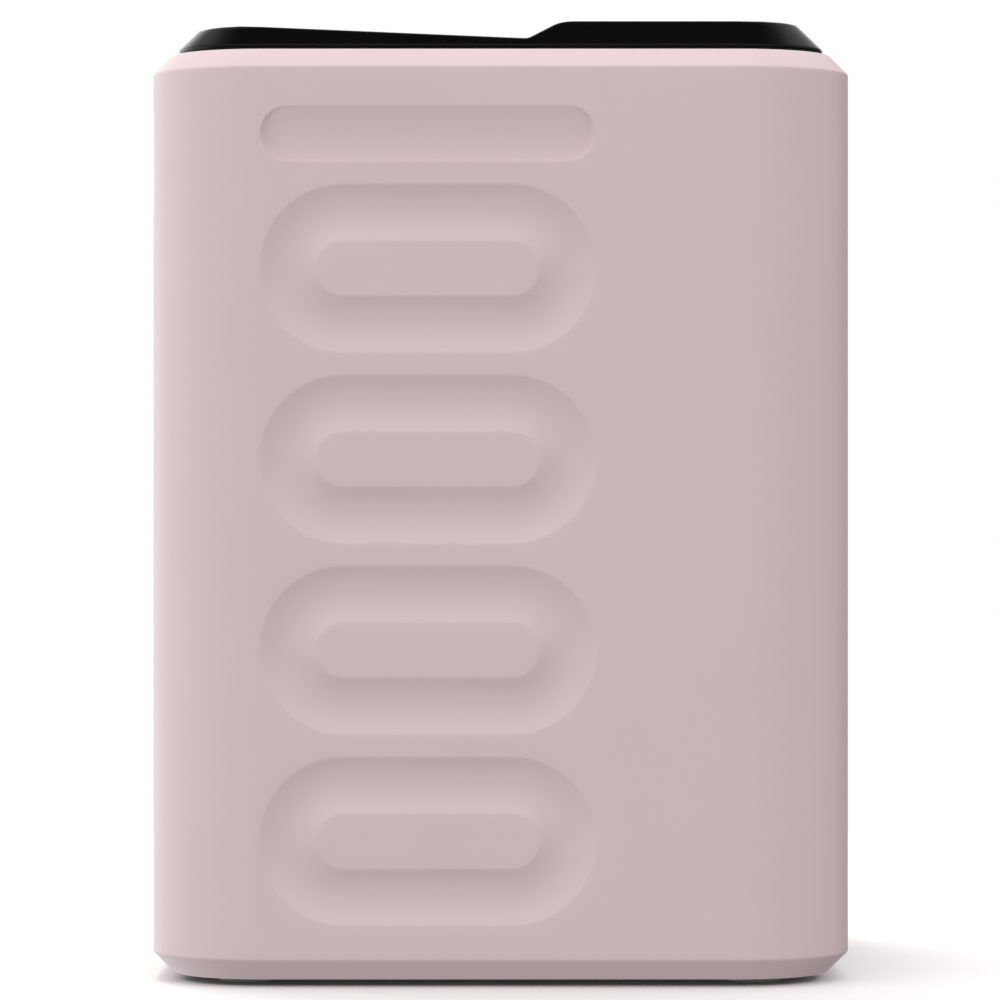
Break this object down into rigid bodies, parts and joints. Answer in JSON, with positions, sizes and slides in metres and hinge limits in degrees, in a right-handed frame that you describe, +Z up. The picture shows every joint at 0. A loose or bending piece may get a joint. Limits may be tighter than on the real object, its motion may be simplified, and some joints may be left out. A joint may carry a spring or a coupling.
{
  "type": "ice cream maker",
  "caption": "Upright compressor ice cream maker: rounded pink housing with embossed capsule rings on both sides, hinged black lid, geared dasher in an aluminium bowl.",
  "frame": {"origin": "middle of the machine's footprint, on the surface that its feet stand on", "axes": "+Z up; -Y is the front, with the fascia and buttons; +Y is the rear, with the hinge and the mains inlet; X runs across"},
  "size_m": [0.236, 0.25, 0.3424],
  "materials": {
    "pink_plastic": "glossy pink ABS, injection moulded",
    "black_plastic": "high-gloss black acrylic",
    "dark_plastic": "fine-textured charcoal polypropylene",
    "inlet_plastic": "black moulded polyamide",
    "rubber": "matt grey silicone",
    "zinc_steel": "zinc-plated steel",
    "aluminium": "satin anodised aluminium",
    "copper": "drawn copper tube",
    "bronze": "sintered bronze",
    "enamel": "black stoved enamel",
    "acetal": "natural white acetal",
    "laminate": "green glass-fibre laminate",
    "foam": "moulded rigid foam"
  },
  "bodies": {
    "root": {"housing_shell": "pink_plastic", "base_plate": "dark_plastic", "deck": "pink_plastic", "hinge_pin_left": "zinc_steel", "hinge_pin_right": "zinc_steel", "lid_gasket": "rubber", "bowl": "aluminium", "cooling_well": "aluminium", "evaporator_coil": "aluminium", "insulation_cup": "foam", "idler_pin": "zinc_steel", "gearbox_case": "dark_plastic", "gearbox_cover": "dark_plastic", "shaft_bush": "bronze", "shaft_seal": "rubber", "motor_can": "zinc_steel", "support_bracket": "zinc_steel", "compressor": "enamel", "compressor_grommet_1": "rubber", "compressor_grommet_2": "rubber", "compressor_grommet_3": "rubber", "condenser": "aluminium", "fan_frame": "dark_plastic", "discharge_line": "copper", "filter_drier": "copper", "liquid_line": "copper", "suction_line": "copper", "fascia": "pink_plastic", "display_lens": "black_plastic", "control_board": "laminate", "rear_panel": "pink_plastic", "rear_screw_1": "zinc_steel", "rear_screw_2": "zinc_steel", "rear_screw_3": "zinc_steel", "rear_screw_4": "zinc_steel", "base_screw_1": "zinc_steel", "base_screw_2": "zinc_steel", "base_screw_3": "zinc_steel", "base_screw_4": "zinc_steel", "power_inlet": "inlet_plastic", "rocker_bezel": "inlet_plastic", "power_board": "laminate", "foot_front_left": "rubber", "foot_front_right": "rubber", "foot_rear_left": "rubber", "foot_rear_right": "rubber"},
    "lid": {"lid": "black_plastic"},
    "cap": {"mix_in_cap": "black_plastic"},
    "drive": {"dasher": "acetal", "drive_shaft": "zinc_steel", "output_gear": "acetal"},
    "idler": {"idler_gear": "acetal"},
    "motor": {"motor_pinion": "bronze", "motor_shaft": "zinc_steel"},
    "fan": {"fan_rotor": "dark_plastic"},
    "power_key": {"button_power": "pink_plastic"},
    "mode_key": {"button_mode": "pink_plastic"},
    "timer_key": {"button_timer": "pink_plastic"},
    "start_key": {"button_start": "pink_plastic"},
    "rocker": {"power_rocker": "inlet_plastic"}
  },
  "joints": [
    {"name": "lid_hinge", "type": "hinge", "parent": "root", "child": "lid", "pos_m": [0, 0.1143, 0.3349], "axis": [-1, 0, 0], "range_deg": [0, 100]},
    {"name": "cap_lift", "type": "slide", "parent": "lid", "child": "cap", "axis": [0, 0, 1], "range_m": [0, 0.035]},
    {"name": "dasher_turn", "type": "hinge", "parent": "root", "child": "drive", "pos_m": [0, -0.018, 0.25], "axis": [0, 0, 1], "continuous": true},
    {"name": "idler_turn", "type": "hinge", "parent": "root", "child": "idler", "pos_m": [0.03072, 0.00351, 0.17], "axis": [0, 0, 1], "continuous": true},
    {"name": "motor_turn", "type": "hinge", "parent": "root", "child": "motor", "pos_m": [0.05, -0.01947, 0.16], "axis": [0, 0, 1], "continuous": true},
    {"name": "fan_turn", "type": "hinge", "parent": "root", "child": "fan", "pos_m": [0, 0.104, 0.062], "axis": [0, 1, 0], "continuous": true},
    {"name": "power_key_press", "type": "slide", "parent": "root", "child": "power_key", "axis": [0, 1, 0], "range_m": [0, 0.001], "stiffness_N_per_m": 600},
    {"name": "mode_key_press", "type": "slide", "parent": "root", "child": "mode_key", "axis": [0, 1, 0], "range_m": [0, 0.001], "stiffness_N_per_m": 600},
    {"name": "timer_key_press", "type": "slide", "parent": "root", "child": "timer_key", "axis": [0, 1, 0], "range_m": [0, 0.001], "stiffness_N_per_m": 600},
    {"name": "start_key_press", "type": "slide", "parent": "root", "child": "start_key", "axis": [0, 1, 0], "range_m": [0, 0.001], "stiffness_N_per_m": 600},
    {"name": "rocker_tilt", "type": "hinge", "parent": "root", "child": "rocker", "pos_m": [0.036, 0.1176, 0.148], "axis": [-1, 0, 0], "range_deg": [0, 10]}
  ],
  "couplings": [
    {"joint": "idler_turn", "follows": "dasher_turn", "ratio": -4},
    {"joint": "motor_turn", "follows": "dasher_turn", "ratio": 12}
  ]
}
